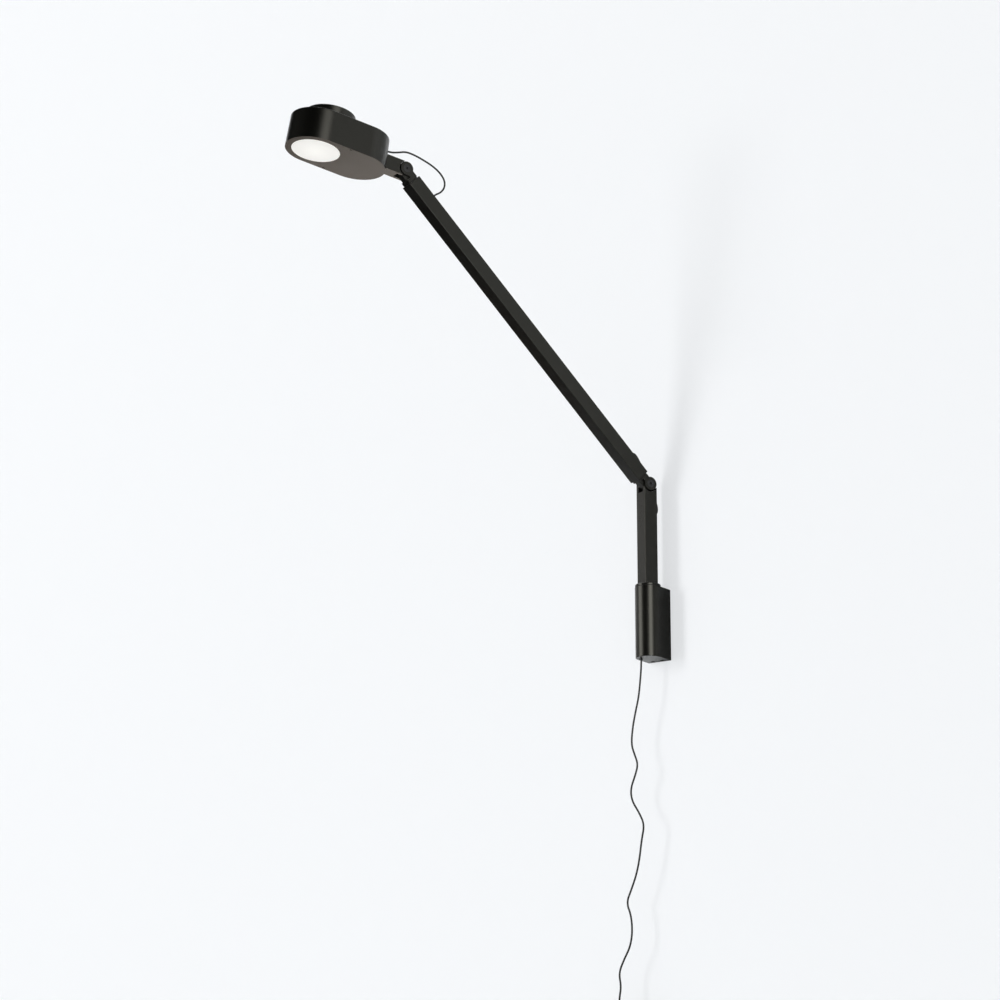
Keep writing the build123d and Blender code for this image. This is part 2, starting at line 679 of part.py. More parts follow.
def make_head():
    plate_top = head_bottom + plate_thickness
    diffuser_top = plate_top + diffuser_flange_thickness
    board_bottom = diffuser_top + reflector_height
    board_top = board_bottom + led_board_thickness
    spreader_top = board_top + spreader_thickness
    driver_bottom = head_bottom + driver_height
    driver_top = driver_bottom + driver_board_thickness

    shell = Pos(0, 0, head_bottom) * extrude(head_outline(0), head_height, taper=head_draft)
    shell = fillet(shell.faces().sort_by(Axis.Z)[-1].edges(), head_edge)
    cavity = Pos(0, 0, head_bottom) * extrude(
        head_outline(head_wall), head_height - head_top_wall, taper=head_draft
    )
    rebate = Pos(0, 0, head_bottom) * extrude(head_outline(head_rim), plate_thickness + plate_gap)
    shell -= cavity + rebate
    socket_side = plug_side + 2 * slip_gap + 2 * socket_wall
    stub_reach = head_gap + head_width / 2 - math.sqrt((head_width / 2) ** 2 - (arm_side / 2) ** 2)
    stub_end = stub_reach + head_wall
    stub = Pos(0, -block_pivot_set, -stub_end) * extrude(
        RectangleRounded(arm_side, arm_side, arm_corner), stub_end - block_reach
    )
    stub += square_bar(socket_side, -block_pivot_set, -socket_end, -stub_end + head_wall / 2)
    to_block = Rot(-90, 0, 0) * Rot(0, 0, 180)
    shell += to_block * stub
    way = square_bar(plug_side + 2 * slip_gap, -block_pivot_set, -block_reach - plug_length, -block_reach + 1)
    screw_way = rod(block_screw_diameter / 2 + slip_gap, -socket_end - 1, -block_reach)
    shell -= to_block * (way + Pos(0, -block_pivot_set, 0) * screw_way)
    shell += at_posts(rod(post_diameter / 2, spreader_top, head_ceiling + 1))
    shell += at_driver_posts(rod(post_diameter / 2, driver_top, head_ceiling + 1))
    post_thread = rod(post_screw_diameter / 2 + press_gap, 0, post_screw_length)
    shell -= at_posts(Pos(0, 0, board_bottom) * post_thread)
    shell -= at_driver_posts(Pos(0, 0, driver_bottom) * post_thread)
    shell -= Pos(0, knob_y, 0) * rod(module_bush_diameter / 2 + press_gap, head_ceiling - 1, head_top + 1)
    grommet_y = -(head_gap + grommet_seat + (head_hole_rise - head_bottom) * math.tan(math.radians(head_draft)))
    cord_way = rod(grommet_radius + press_gap, -head_width / 2, 1)
    cord_way += rod(grommet_radius + grommet_flange + slip_gap, 0, head_gap)
    grommet_frame = Pos(0, grommet_y, head_hole_rise) * Rot(-90, 0, 0)
    shell -= grommet_frame * cord_way
    add("head_shell", shell, head_frame)

    plate_outline = head_outline(head_rim + plate_gap)
    plate_outline -= Pos(0, led_y) * Circle(diffuser_diameter / 2 + plate_gap)
    plate_edge = head_width / 2 - head_rim - plate_gap
    plate_outline -= [Pos(x, -notch_from_pivot) * Circle(notch_radius) for x in (-plate_edge, plate_edge)]
    add("bottom_plate", Pos(0, 0, head_bottom) * extrude(plate_outline, plate_thickness), head_frame)

    led_axis = head_frame * Pos(0, led_y, 0)
    lens = rod(diffuser_diameter / 2, head_bottom, plate_top)
    lens += rod(diffuser_flange_radius, plate_top, diffuser_top)
    add("diffuser", lens, led_axis)
    cone_middle = (diffuser_top + board_bottom) / 2
    cone = Cone(diffuser_flange_radius, led_board_radius, reflector_height)
    cone -= Cone(diffuser_flange_radius - reflector_wall, led_board_radius - reflector_wall, reflector_height)
    add("reflector", Pos(0, 0, cone_middle) * cone, led_axis)
    board = Pos(0, led_y, 0) * rod(led_board_radius, board_bottom, board_top)
    spreader = Pos(0, led_y, 0) * rod(led_board_radius, board_top, spreader_top)
    screw_hole = Pos(0, 0, board_bottom - 1) * rod(post_screw_diameter / 2 + press_gap, 0, post_screw_length)
    add("led_board", board - at_posts(screw_hole), head_frame)
    add("heat_spreader", spreader - at_posts(screw_hole), head_frame)
    chip = square_bar(led_chip_side, 0, board_bottom - led_chip_height, board_bottom)
    chips = [chip]
    for count, radius in zip(led_ring_counts, led_ring_radii):
        chips += [Rot(0, 0, 360 * k / count) * Pos(radius, 0, 0) * chip for k in range(count)]
    add("led_chips", chips, led_axis)

    post_screw = socket_screw(
        post_screw_diameter / 2,
        post_screw_head_diameter / 2,
        post_screw_head_height,
        post_screw_diameter / 2,
        post_screw_length - 1,
    )
    add("spreader_screws", at_posts(Pos(0, 0, board_bottom) * post_screw), head_frame)

    driver_front = -(driver_from_pivot + driver_length)
    driver_half = driver_width / 2
    driver = block(-driver_half, driver_half, driver_front, -driver_from_pivot, driver_bottom, driver_top)
    driver_hole = Pos(0, 0, driver_bottom - 1) * rod(
        post_screw_diameter / 2 + press_gap, 0, post_screw_length
    )
    add("driver_board", driver - at_driver_posts(driver_hole), head_frame)
    driver_middle = -(driver_from_pivot + driver_length / 2)
    coil_can = Pos(0, driver_middle, 0) * rod(coil_can_radius, driver_bottom - coil_can_height, driver_bottom)
    capacitor_x = coil_can_radius + 2 * capacitor_radius
    capacitor_y = driver_front + 2 * capacitor_radius
    capacitor = Pos(capacitor_x, capacitor_y, 0) * rod(
        capacitor_radius, driver_bottom - capacitor_height, driver_bottom
    )
    chip_box = Pos(-capacitor_x, 0, 0) * square_bar(
        chip_box_side, capacitor_y, driver_bottom - chip_box_height, driver_bottom
    )
    add("driver_parts", [coil_can, capacitor, chip_box], head_frame)
    add("driver_screws", at_driver_posts(Pos(0, 0, driver_bottom) * post_screw), head_frame)

    add("head_block", mirror(hinge_block(), about=Plane.YZ), head_block_frame)
    block_screw = socket_screw(
        block_screw_diameter / 2,
        block_screw_head_diameter / 2,
        block_screw_head_height,
        block_screw_diameter / 2,
        block_screw_length,
    )
    add("head_block_screw", Pos(0, -block_pivot_set, -socket_end) * block_screw, head_block_frame)

    add("head_grommet", grommet(head_wall - grommet_seat), head_frame * grommet_frame)
    lead = [
        (0, -(head_gap + head_wall), head_hole_rise),
        (0, -(head_gap + head_wall + 10), head_hole_rise),
        (0, -(driver_from_pivot + 3), head_hole_rise - 7),
        (0, -(driver_from_pivot + 8), driver_top + 5),
        (0, -(driver_from_pivot + 8), driver_top),
    ]
    add("head_lead", cord("head_lead", world_points(head_frame, lead)))


# Dimmer on top of the head

def make_dimmer():
    axis = head_frame * Pos(0, knob_y, 0)
    bush_top = head_top + module_bush_above
    shaft_bottom = head_ceiling - shaft_into_module
    knob_bottom = head_top + knob_lift
    knob_top = head_top + knob_height
    hub_bottom = bush_top + clear_gap
    knob_ceiling = knob_top - knob_wall
    shaft_top = hub_bottom + shaft_into_knob
    shaft_way = rod(shaft_diameter / 2 + running_gap, shaft_bottom - running_gap, bush_top + 1)

    module = square_bar(module_side, 0, head_ceiling - module_height, head_ceiling)
    module += rod(module_bush_diameter / 2, head_ceiling, bush_top)
    add("dimmer_module", module - shaft_way, axis)
    nut = hexagon(module_nut_across_flats, head_top, head_top + module_nut_height)
    add("module_nut", nut - rod(module_bush_diameter / 2 + press_gap, head_ceiling, bush_top), axis)

    knob = rod(knob_diameter / 2, knob_bottom, knob_top)
    knob = fillet(knob.faces().sort_by(Axis.Z)[-1].edges(), knob_edge)
    knob -= rod(knob_diameter / 2 - knob_wall, knob_bottom - 1, knob_ceiling)
    knob += rod(knob_hub_diameter / 2, hub_bottom, knob_ceiling + 1)
    flat_x = shaft_diameter / 2 - shaft_flat
    flat = block(flat_x, shaft_diameter, -shaft_diameter, shaft_diameter, hub_bottom, shaft_top)
    shaft = rod(shaft_diameter / 2, shaft_bottom, shaft_top) - flat
    seat = rod(shaft_diameter / 2 + press_gap, hub_bottom - 1, shaft_top + press_gap)
    seat -= Pos(press_gap, 0, 0) * flat
    add("dimmer_knob", knob - seat, axis)
    add("dimmer_shaft", shaft, axis)


# Hanging cord, its put-away coil and the plug-in driver

inlet_route = [
    (-5.0, -8.0, -terminal_height / 2),
    (-5.0, -8.0, -16.5),
    (-6.5, -15.0, -24.0),
    (-9.5, -26.0, -30.0),
    (cord_exit_x, cord_exit_y, -37.5),
    (cord_exit_x, cord_exit_y, cavity_bottom + gland_flange_height),
]
hanging_route = [
    (cord_exit_x, cord_exit_y, cavity_bottom + gland_flange_height),
    (cord_exit_x, cord_exit_y, -57.0),
    (-12.4, -30.5, -76.0),
    (-15.4, -30.5, -100.0),
    (-20.6, -30.5, -119.0),
    (-25.4, -30.5, -140.0),
    (-27.8, -30.5, -162.0),
    (-22.9, -30.5, -176.0),
    (-17.4, -30.5, -190.0),
    (-22.5, -30.5, -205.0),
    (-29.8, -30.5, -222.0),
    (-27.6, -30.5, -238.0),
    (-17.0, -30.5, -254.0),
    (-8.6, -30.5, -271.0),
    (-13.4, -30.5, -291.0),
    (-16.8, -30.5, -315.0),
    (-22.0, -30.5, -336.0),
    (-30.6, -30.5, -356.0),
    (-38.0, -30.5, -371.5),
    (-30.8, -30.5, -389.0),
    (-29.2, -30.5, -411.0),
    (-33.0, -30.5, -430.0),
    (-43.5, -30.5, -447.0),
    (-51.0, -30.5, -463.0),
    (-47.4, -30.5, -480.0),
    (-51.0, -30.5, -498.0),
    (-50.0, -30.5, -515.0),
    (-50.0, -30.5, -530.0),
]


def biarc(start, start_way, end, end_way):
    """Two tangent arcs from one point and direction to another."""
    span = end - start
    ways = start_way + end_way
    slack = 2 * (1 - start_way.dot(end_way))
    reach = math.sqrt(span.dot(ways) ** 2 + slack * span.dot(span))
    arm = (reach - span.dot(ways)) / slack
    meet = (start + start_way * arm + end - end_way * arm) / 2
    first = Edge.make_tangent_arc(start, start_way, meet)
    return [first, Edge.make_tangent_arc(meet, first % 1, end)]


def coil_state(turn):
    """Radius, depth and their change per turn, as the loops spiral in and out in layers."""
    reversal = round(turn / coil_turns_per_layer)
    past = turn - reversal * coil_turns_per_layer
    travel = abs(past) * coil_pitch
    inner_radius = coil_outer_radius - coil_turns_per_layer * coil_pitch
    at_outside = reversal % 2 == 0
    radius = coil_outer_radius - travel if at_outside else inner_radius + travel
    radius_rate = 0.0 if past == 0 else math.copysign(coil_pitch, -past if at_outside else past)
    climb = min(max(2 * past + 0.5, 0.0), 1.0)
    layer = reversal - 1 + climb**2 * (3 - 2 * climb)
    depth = min(max(layer, 0.0), coil_layers - 1) * coil_pitch
    inside = 0 < reversal < coil_layers
    depth_rate = 12 * climb * (1 - climb) * coil_pitch if inside else 0.0
    return radius, depth, radius_rate, depth_rate


def coil_point(turn, top_x, top_y, middle_z):
    """A point of the coil and the way it runs, counted in turns from its left side."""
    radius, depth, radius_rate, depth_rate = coil_state(turn)
    angle = math.pi + 2 * math.pi * turn
    middle_x = top_x + coil_outer_radius
    point = Vector(
        middle_x + radius * math.cos(angle), top_y - depth, middle_z + radius * math.sin(angle)
    )
    way = Vector(
        radius_rate * math.cos(angle) - 2 * math.pi * radius * math.sin(angle),
        -depth_rate,
        radius_rate * math.sin(angle) + 2 * math.pi * radius * math.cos(angle),
    )
    return point, way.normalized()


def least_gap(path):
    """The smallest gap between two stretches of a tube that aren't neighbours along it."""
    step = cord_radius
    count = int(path.length / step)
    points = [path.position_at(k / count) for k in range(count + 1)]
    apart = int(4 * cord_diameter / step)
    distances = [
        (points[i] - points[j]).length for i in range(count + 1) for j in range(i + apart, count + 1)
    ]
    return min(distances) - cord_diameter


def make_cord():
    add("inlet_lead", cord("inlet_lead", inlet_route))
    add("main_cord", cord("main_cord", hanging_route))

    start = Vector(*hanging_route[-1])
    first = start - Vector(0, 0, cord_diameter)
    quarters = 4 * coil_layers * coil_turns_per_layer
    states = [coil_point(k / 4, first.X, first.Y, first.Z) for k in range(quarters + 1)]
    edges = [Edge.make_line(start, states[0][0])]
    for (point, way), (next_point, next_way) in zip(states, states[1:]):
        edges += biarc(point, way, next_point, next_way)
    last = states[-1][0]
    end = last + states[-1][1] * coil_exit
    edges.append(Edge.make_line(last, end))
    path = Wire(edges)
    print(f"cord_coil: least gap to itself {least_gap(path):.2f} mm")
    add("cord_coil", tube_along("cord_coil", path))

    bundle_low = coil_outer_radius - coil_turns_per_layer * coil_pitch - cord_radius - tie_gap
    bundle_high = coil_outer_radius + cord_radius + tie_gap
    bundle_half = coil_layers * coil_pitch / 2 + tie_gap
    coil_middle = Pos(first.X + coil_outer_radius, first.Y - (coil_layers - 1) * coil_pitch / 2, first.Z)
    grown = tie_thickness
    half = tie_width / 2
    band = block(-half, half, -bundle_half - grown, bundle_half + grown, bundle_low - grown, bundle_high + grown)
    band = fillet(band.edges().filter_by(Axis.X), tie_thickness + cord_radius)
    opening = block(-tie_width, tie_width, -bundle_half, bundle_half, bundle_low, bundle_high)
    opening = fillet(opening.edges().filter_by(Axis.X), cord_radius)
    add("coil_tie", band - opening, coil_middle)

    boot_top = Pos(end.X, end.Y, end.Z)
    boot = Pos(0, 0, -boot_length / 2) * Cone(boot_diameter / 2, boot_tip_diameter / 2, boot_length)
    add("plug_boot", boot, boot_top)
    case_half = plug_case_height / 2
    case = Box(plug_case_width, plug_case_depth, plug_case_height)
    case = fillet(case.edges().filter_by(Axis.Y), plug_case_corner)
    case = fillet(case.faces().filter_by(Axis.Y).edges(), plug_case_edge)
    case_middle = boot_top * Pos(0, 0, -boot_length - case_half)
    add("plug_case", case, case_middle)
    pin = Rot(90, 0, 0) * rod(pin_diameter / 2, plug_case_depth / 2, plug_case_depth / 2 + pin_length)
    pin = fillet(pin.faces().sort_by(Axis.Y)[0].edges(), pin_diameter / 4)
    pin_z = case_half - pin_drop
    pins = [Pos(x, 0, pin_z) * pin for x in (-pin_spacing / 2, pin_spacing / 2)]
    add("plug_pins", pins, case_middle)


make_bracket()
make_lower_arm()
make_upper_arm()
make_joint_cords()
make_head()
make_dimmer()
make_cord()

os.makedirs("parts", exist_ok=True)
for name, piece in nodes.items():
    export_step(piece, f"parts/{name}.step")
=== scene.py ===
import math

import bmesh
import bpy
from bpy.props import FloatProperty, FloatVectorProperty, IntProperty, PointerProperty
from mathutils import Matrix, Vector


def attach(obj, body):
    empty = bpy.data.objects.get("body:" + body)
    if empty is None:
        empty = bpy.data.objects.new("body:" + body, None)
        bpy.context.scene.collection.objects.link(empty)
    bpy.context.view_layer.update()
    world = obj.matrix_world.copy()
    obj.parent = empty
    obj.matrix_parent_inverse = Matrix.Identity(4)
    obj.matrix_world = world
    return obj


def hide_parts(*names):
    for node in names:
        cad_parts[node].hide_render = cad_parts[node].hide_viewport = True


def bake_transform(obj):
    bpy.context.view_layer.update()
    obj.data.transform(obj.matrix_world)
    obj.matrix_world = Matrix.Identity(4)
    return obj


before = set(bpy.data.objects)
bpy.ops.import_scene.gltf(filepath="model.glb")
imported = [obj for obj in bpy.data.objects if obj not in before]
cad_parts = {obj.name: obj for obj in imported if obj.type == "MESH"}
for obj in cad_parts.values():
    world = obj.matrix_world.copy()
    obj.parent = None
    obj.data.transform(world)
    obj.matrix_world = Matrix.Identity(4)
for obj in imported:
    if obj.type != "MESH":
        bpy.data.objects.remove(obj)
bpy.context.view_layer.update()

bl_info = {
    "name": "Swing-arm wall lamp",
    "version": (1, 0, 0),
    "blender": (4, 5, 0),
    "location": "View3D > Sidebar > Wall Lamp",
    "description": "Finishes, cords, plug details and stage of a wall lamp with a pill-shaped head",
    "category": "Object",
}

# Turns of the lamp at the pose it is stored in, and sizes in metres
SWIVEL = math.radians(-23.6)
ARM_RISE = math.radians(44.6)
HEAD_RISE = math.radians(9.2)
SWIVEL_DEPTH = 0.0285
ELBOW_HEIGHT = 0.1915
ELBOW_SET_BACK = 0.0017
ARM_PITCH = 0.537
DIFFUSER_AHEAD = 0.131
DIFFUSER_DROP = 0.021
GLOW_RADIUS = 0.036

# Directions of the arms and the head, and the points they turn about
ACROSS = Vector((math.cos(SWIVEL), math.sin(SWIVEL), 0.0))
AHEAD = Vector((math.sin(SWIVEL), -math.cos(SWIVEL), 0.0))
UP = Vector((0.0, 0.0, 1.0))
ELBOW_PIVOT = Vector((0.0, -SWIVEL_DEPTH, ELBOW_HEIGHT)) - AHEAD * ELBOW_SET_BACK
ALONG_ARM = AHEAD * math.cos(ARM_RISE) + UP * math.sin(ARM_RISE)
OFF_ARM = UP * math.cos(ARM_RISE) - AHEAD * math.sin(ARM_RISE)
HEAD_PIVOT = ELBOW_PIVOT + ALONG_ARM * ARM_PITCH
ALONG_HEAD = AHEAD * math.cos(HEAD_RISE) + UP * math.sin(HEAD_RISE)
OFF_HEAD = UP * math.cos(HEAD_RISE) - AHEAD * math.sin(HEAD_RISE)
DIFFUSER_CENTRE = HEAD_PIVOT + ALONG_HEAD * DIFFUSER_AHEAD - OFF_HEAD * DIFFUSER_DROP

COATED_NODES = (
    "bracket_housing", "bottom_cover", "turret_collar", "lower_arm_tube", "elbow_block", "upper_arm_tube",
    "elbow_knuckle", "head_knuckle", "head_shell", "bottom_plate", "head_block", "dimmer_knob",
)
WIRING_NODES = ("upper_wiring", "lower_wiring", "bracket_lead", "inlet_lead", "head_lead")
GROMMET_NODES = ("lower_grommet", "upper_grommets", "head_grommet", "cord_gland")
PLUG_RUBBER_NODES = ("plug_boot", "coil_tie")

# Plain finishes: name, nodes, darker and lighter colour, roughness, and what differs from the usual texture
PLUG_FINISHES = (
    (
        "Plug case", ("plug_case",),
        (0.010, 0.010, 0.010), (0.016, 0.016, 0.016), 0.55, {"grain": 1400.0, "bump": 0.25},
    ),
    (
        "Plated pins", ("plug_pins",),
        (0.62, 0.62, 0.64), (0.72, 0.72, 0.73), 0.22, {"grain": 600.0, "bump": 0.02, "metallic": 1.0},
    ),
)
HARDWARE_FINISHES = (
    (
        "Black oxide steel", ("elbow_bolt", "elbow_nut", "head_bolt", "head_nut", "cover_screws"),
        (0.010, 0.010, 0.010), (0.020, 0.020, 0.019), 0.30,
        {"grain": 700.0, "patch": 60.0, "bump": 0.03, "specular": 0.6},
    ),
    (
        "Zinc plate",
        (
            "wall_plate", "swivel_spindle", "spindle_nut", "wave_washer", "terminal_screws",
            "spreader_screws", "driver_screws", "head_block_screw", "module_nut", "dimmer_shaft",
        ),
        (0.42, 0.43, 0.45), (0.56, 0.56, 0.56), 0.34,
        {"grain": 500.0, "patch": 50.0, "bump": 0.03, "metallic": 1.0},
    ),
    (
        "Bearing plastic", ("swivel_bush", "swivel_washer", "elbow_washers", "head_washers"),
        (0.030, 0.030, 0.030), (0.045, 0.045, 0.044), 0.5, {"patch": 40.0},
    ),
)
LIGHT_UNIT_FINISHES = (
    ("Reflector white", ("reflector",), (0.80, 0.80, 0.78), (0.86, 0.86, 0.84), 0.25, {"patch": 30.0}),
    ("Board white", ("led_board",), (0.70, 0.70, 0.67), (0.78, 0.78, 0.75), 0.45, {"patch": 60.0}),
    ("LED yellow", ("led_chips",), (0.80, 0.58, 0.10), (0.88, 0.68, 0.18), 0.3, {"patch": 300.0}),
    ("Board green", ("driver_board",), (0.01, 0.08, 0.03), (0.02, 0.11, 0.04), 0.4, {"patch": 80.0}),
    (
        "Moulded grey", ("driver_parts", "dimmer_module"),
        (0.025, 0.025, 0.028), (0.040, 0.040, 0.043), 0.5, {"patch": 90.0},
    ),
    ("Terminal white", ("terminal_block",), (0.68, 0.68, 0.64), (0.76, 0.76, 0.72), 0.45, {"patch": 60.0}),
    (
        "Machined aluminium", ("heat_spreader",),
        (0.55, 0.55, 0.57), (0.66, 0.66, 0.67), 0.32, {"patch": 40.0, "metallic": 1.0},
    ),
)

# Colours of the coating's gloss and of the diffuser's glow at its rim and its middle
COAT_GLOSS = (1.0, 0.98, 0.86)
GLOW_RIM = (0.60, 0.59, 0.56)
GLOW_MIDDLE = (1.0, 0.98, 0.92)
# Darker patches of the diffuser and lighter patches of the cord, as shares of their colour
DIFFUSER_PATCH = 0.94
CORD_PATCH = 1.7

# The stage, in metres. The wall lies just behind the bracket's back, so that the two planes don't meet
WALL_SIZES = (5.6, 4.0)
WALL_MIDDLE = (1.35, 0.0008, 0.75)
FLOOR_SIZES = (14.0, 14.0)
FLOOR_MIDDLE = (0.0, -6.5)
# Share of its written colour that the backdrop keeps for the camera
SEEN_SHARE = 0.65
# Painted shade low on the left and painted light far on the right, which only gloss shows on the backdrop:
# weights of X, Y and Z, where each starts and where it is full
SHADE_LOW_LEFT = ((0.5, 0.0, 1.0), -0.12, -0.30)
PAINTED_LIGHT_FAR_RIGHT = ((1.0, 0.0, 0.0), 0.4, 1.2)
FADE_SHARE = 0.95
# Painted shade just right of the lamp that only gloss shows: places along X with their share of the colour
SHADE_BESIDE = ((0.018, 0.45), (0.06, 0.50), (0.25, 0.66), (0.42, 0.82))
SHADE_BESIDE_END = 0.8
# The world's light on surfaces and in gloss
SOFT_LIGHT = 0.43
SOFT_GLOSS = 0.015
WHITE = (1.0, 1.0, 1.0)
# Lights: name, place, target, width and height, power and colour. Only gloss shows the cards
KEY_LAMP = ("Key lamp", (-6.50, -10.20, 1.80), (0.0, 0.0, 0.1), (2.10, 6.50), 865.0, WHITE)
GLOSS_CARDS = (
    ("Left softbox", (-2.60, -3.00, 0.45), (0.0, -0.1, 0.2), (2.40, 2.50), 72.0, WHITE),
    ("Right softbox", (1.75, -1.30, 0.65), (-0.1, -0.2, 0.3), (1.20, 1.90), 32.0, WHITE),
    ("Left card", (-1.55, -0.25, 0.50), (0.0, -0.05, 0.12), (0.45, 0.45), 0.50, WHITE),
    ("Warm card", (-0.62, -0.004, 0.33), (-0.62, -1.0, 0.33), (0.65, 0.45), 0.45, (1.0, 0.67, 0.43)),
)
# Sockets of a Mix node that mixes colours
MIX_FIRST = 6
MIX_SECOND = 7
MIX_RESULT = 2


class LampFinish(bpy.types.PropertyGroup):
    """Colours and gloss of the lamp's pieces."""

    coat_color: FloatVectorProperty(
        name="Coat", description="Colour of the satin black coating", subtype="COLOR",
        default=(0.0015, 0.0015, 0.0012), min=0.0, max=1.0,
    )
    coat_light: FloatVectorProperty(
        name="Coat, lighter", description="Lighter colour of the coating's patches", subtype="COLOR",
        default=(0.0027, 0.0027, 0.0023), min=0.0, max=1.0,
    )
    coat_roughness: FloatProperty(
        name="Coat roughness", description="Roughness of the coating", subtype="FACTOR",
        default=0.30, min=0.0, max=1.0,
    )
    diffuser_color: FloatVectorProperty(
        name="Diffuser", description="Colour of the opal diffuser", subtype="COLOR",
        default=(0.86, 0.85, 0.81), min=0.0, max=1.0,
    )
    glow: FloatProperty(
        name="Glow", description="Strength of the light that the diffuser gives off",
        default=0.37, min=0.0, max=20.0,
    )
    cord_color: FloatVectorProperty(
        name="Cord", description="Colour of the cord's sheath", subtype="COLOR",
        default=(0.012, 0.012, 0.011), min=0.0, max=1.0,
    )


class LampCord(bpy.types.PropertyGroup):
    """Sizes of the lamp's cord."""

    diameter: FloatProperty(
        name="Diameter", description="Diameter of the cord", unit="LENGTH",
        default=0.0025, min=0.001, max=0.008,
    )
    length: FloatProperty(
        name="Length", description="Length of the hanging cord from the bracket to the plug", unit="LENGTH",
        default=2.0, min=0.3, max=10.0,
    )
    coil_radius: FloatProperty(
        name="Coil radius", description="Outer radius of the coil, at the middle of the cord", unit="LENGTH",
        default=0.021, min=0.01, max=0.1,
    )
    coil_pitch: FloatProperty(
        name="Coil pitch", description="Distance between turns beside each other", unit="LENGTH",
        default=0.003, min=0.001, max=0.02,
    )
    coil_turns: IntProperty(
        name="Turns in a layer", description="Turns in each layer of the coil", default=4, min=1, max=12,
    )
    coil_layers: IntProperty(name="Layers", description="Layers of the coil", default=4, min=1, max=8)


class LampStage(bpy.types.PropertyGroup):
    """Wall, floor, light and camera around the lamp."""

    wall_color: FloatVectorProperty(
        name="Wall", description="Colour of the wall behind the lamp", subtype="COLOR",
        default=(0.923, 0.939, 0.956), min=0.0, max=1.0,
    )
    floor_height: FloatProperty(
        name="Floor height", description="Height of the floor from the bracket's middle", unit="LENGTH",
        default=-1.25, min=-3.0, max=-0.7,
    )
    lens: FloatProperty(
        name="Lens", description="Focal length on a 36 mm wide sensor, in millimetres",
        default=112.276, min=10.0, max=300.0,
    )
    camera_place: FloatVectorProperty(
        name="Camera", description="Place of the camera", subtype="TRANSLATION", unit="LENGTH",
        default=(2.17128, -3.47722, -0.91422),
    )
    camera_azimuth: FloatProperty(
        name="Azimuth", description="Turn of the camera to the right of the wall's normal", subtype="ANGLE",
        default=math.radians(34.982),
    )
    camera_rise: FloatProperty(
        name="Rise", description="How far the camera looks up", subtype="ANGLE",
        default=math.radians(14.914),
    )


# Shader helpers

def new_material(name):
    """A new material, its node tree and its Principled shader."""
    material = bpy.data.materials.new(name)
    material.use_nodes = True
    tree = material.node_tree
    return material, tree, tree.nodes["Principled BSDF"]


def add_node(tree, kind, inputs=None, **settings):
    """Add a shader node, set its options and its unlinked inputs."""
    node = tree.nodes.new(kind)
    for key, value in settings.items():
        setattr(node, key, value)
    for key, value in (inputs or {}).items():
        node.inputs[key].default_value = value
    return node


def mix_shaders(tree, share, first, second):
    """Two shaders mixed by a share of the second."""
    mix = add_node(tree, "ShaderNodeMixShader")
    for source, target in zip((share, first, second), mix.inputs):
        tree.links.new(source, target)
    return mix.outputs["Shader"]


def new_group(name, inputs, outputs):
    """A shader node group with named value sockets."""
    group = bpy.data.node_groups.new(name, "ShaderNodeTree")
    for label, kind, default in inputs:
        socket = group.interface.new_socket(name=label, in_out="INPUT", socket_type=kind)
        if default is not None:
            socket.default_value = default
    for label, kind in outputs:
        group.interface.new_socket(name=label, in_out="OUTPUT", socket_type=kind)
    return group, group.nodes.new("NodeGroupInput"), group.nodes.new("NodeGroupOutput")


def surface_grain_group():
    """Fine grain, soft patches and smudges of a coated or moulded surface."""
    existing = bpy.data.node_groups.get("Surface grain")
    if existing:
        return existing
    group, source, result = new_group(
        "Surface grain",
        [
            ("Vector", "NodeSocketVector", None),
            ("Grain size", "NodeSocketFloat", 900.0),
            ("Patch size", "NodeSocketFloat", 14.0),
            ("Roughness", "NodeSocketFloat", 0.4),
            ("Smudge", "NodeSocketFloat", 0.06),
        ],
        [("Patch", "NodeSocketFloat"), ("Roughness", "NodeSocketFloat"), ("Height", "NodeSocketFloat")],
    )
    links = group.links
    grain = add_node(group, "ShaderNodeTexNoise", {"Detail": 2.0, "Roughness": 0.55})
    links.new(source.outputs["Vector"], grain.inputs["Vector"])
    links.new(source.outputs["Grain size"], grain.inputs["Scale"])
    links.new(grain.outputs["Fac"], result.inputs["Height"])
    patch = add_node(group, "ShaderNodeTexNoise", {"Detail": 4.0, "Roughness": 0.6})
    links.new(source.outputs["Vector"], patch.inputs["Vector"])
    links.new(source.outputs["Patch size"], patch.inputs["Scale"])
    contrast = add_node(
        group, "ShaderNodeMapRange", {"From Min": 0.32, "From Max": 0.68, "To Min": 0.0, "To Max": 1.0}
    )
    links.new(patch.outputs["Fac"], contrast.inputs["Value"])
    links.new(contrast.outputs["Result"], result.inputs["Patch"])
    both = add_node(group, "ShaderNodeMath", operation="ADD")
    links.new(patch.outputs["Fac"], both.inputs[0])
    links.new(grain.outputs["Fac"], both.inputs[1])
    centred = add_node(group, "ShaderNodeMath", {1: 1.0}, operation="SUBTRACT")
    links.new(both.outputs["Value"], centred.inputs[0])
    smudge = add_node(group, "ShaderNodeMath", operation="MULTIPLY_ADD")
    links.new(centred.outputs["Value"], smudge.inputs[0])
    links.new(source.outputs["Smudge"], smudge.inputs[1])
    links.new(source.outputs["Roughness"], smudge.inputs[2])
    links.new(smudge.outputs["Value"], result.inputs["Roughness"])
    return group


